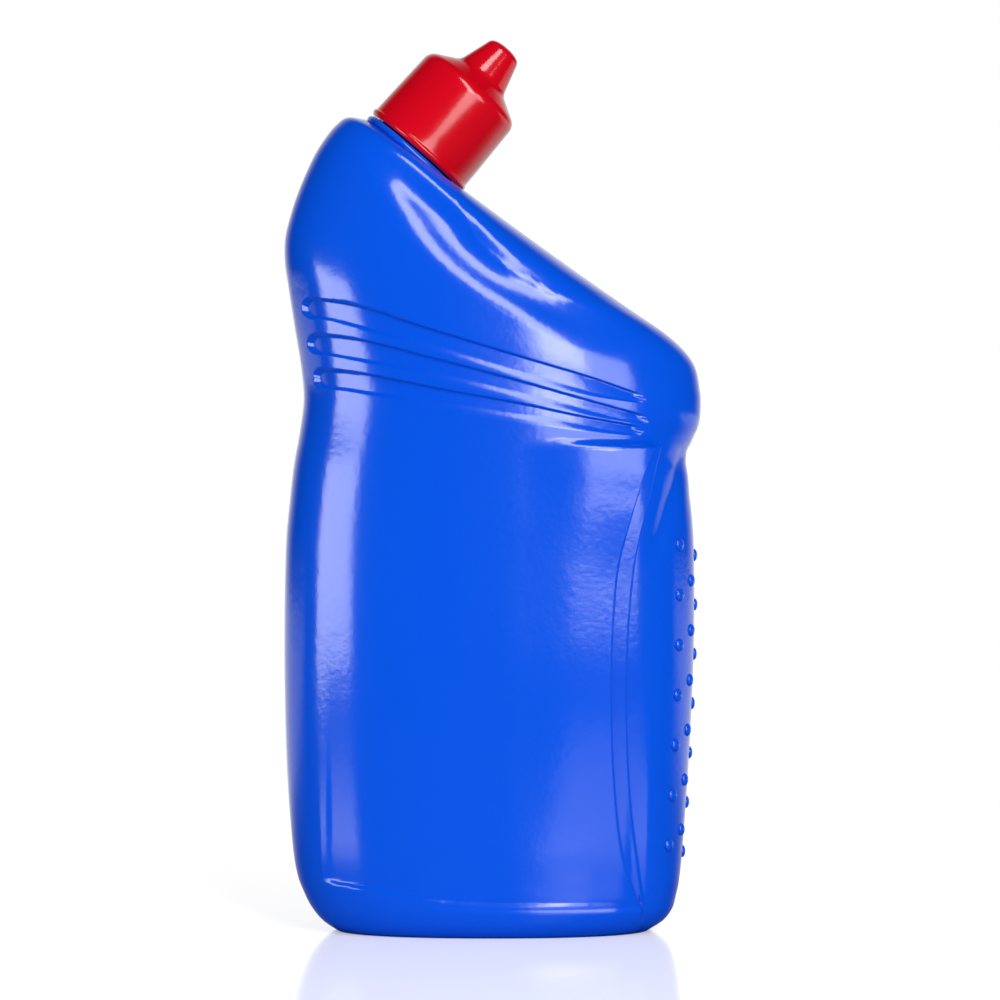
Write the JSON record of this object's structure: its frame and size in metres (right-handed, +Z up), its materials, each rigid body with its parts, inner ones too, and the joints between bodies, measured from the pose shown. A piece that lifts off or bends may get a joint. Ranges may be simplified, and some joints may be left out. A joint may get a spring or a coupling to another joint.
{
  "type": "toilet cleaner bottle",
  "caption": "Angled-neck toilet cleaner bottle in glossy blue plastic with a dotted side grip, a squirt insert and a red screw cap with a tall cone.",
  "frame": {"origin": "under the middle of the bottle, on the surface that it stands on", "axes": "+Z up, +X the way the neck leans, broad faces along -Y and +Y"},
  "size_m": [0.1164, 0.0612, 0.2488],
  "materials": {
    "bottle_blue": "gloss",
    "cap_red": "gloss",
    "nozzle_white": "matte"
  },
  "bodies": {
    "bottle": {"bottle": "bottle_blue"},
    "nozzle": {"nozzle_plug": "nozzle_white"},
    "cap": {"cap": "cap_red"}
  },
  "joints": [
    {"name": "cap_turn", "type": "hinge", "parent": "bottle", "child": "nozzle", "pos_m": [-0.02127, 0, 0.2172], "axis": [0.6561, 0, 0.7547], "range_deg": [0, 3240]},
    {"name": "cap_lift", "type": "slide", "parent": "nozzle", "child": "cap", "axis": [0.6561, 0, 0.7547], "range_m": [0, 0.0378]}
  ],
  "couplings": [
    {"joint": "cap_lift", "follows": "cap_turn", "m_per_rad": 0.00066845}
  ]
}
